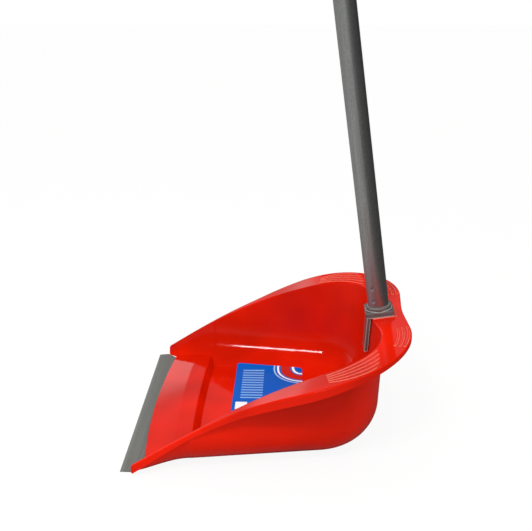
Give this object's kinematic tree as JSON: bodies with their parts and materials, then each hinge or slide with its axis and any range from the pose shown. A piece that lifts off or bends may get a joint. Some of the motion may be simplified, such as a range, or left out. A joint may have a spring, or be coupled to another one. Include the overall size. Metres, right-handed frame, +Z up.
{
  "type": "long-handled dustpan",
  "caption": "Long-handled dustpan: deep round-backed plastic pan with a wide ribbed rim and ramped mouth, soft sweeping lip, and a clip-on metal handle with a hanging eye.",
  "frame": {"origin": "on the floor, midway between the lip's front edge and the back of the rim, on the mid-plane", "axes": "+Z up, the mouth faces -Y, X across the mouth"},
  "size_m": [0.2916, 0.285, 0.8859],
  "materials": {
    "pan_plastic": "gloss red polypropylene",
    "lip_rubber": "matt grey soft strip",
    "label_film": "printed film",
    "bracket_plastic": "satin grey",
    "tube_metal": "satin grey powder coat",
    "cap_plastic": "satin grey"
  },
  "bodies": {
    "pan": {"pan": "pan_plastic", "lip": "lip_rubber", "floor_label": "label_film"},
    "handle": {"handle_bracket": "bracket_plastic", "handle_tube": "tube_metal", "hanging_cap": "cap_plastic"}
  },
  "joints": [
    {"name": "handle_lift", "type": "slide", "parent": "pan", "child": "handle", "axis": [0, -0.1464, 0.9892], "range_m": [0, 0.045]}
  ]
}
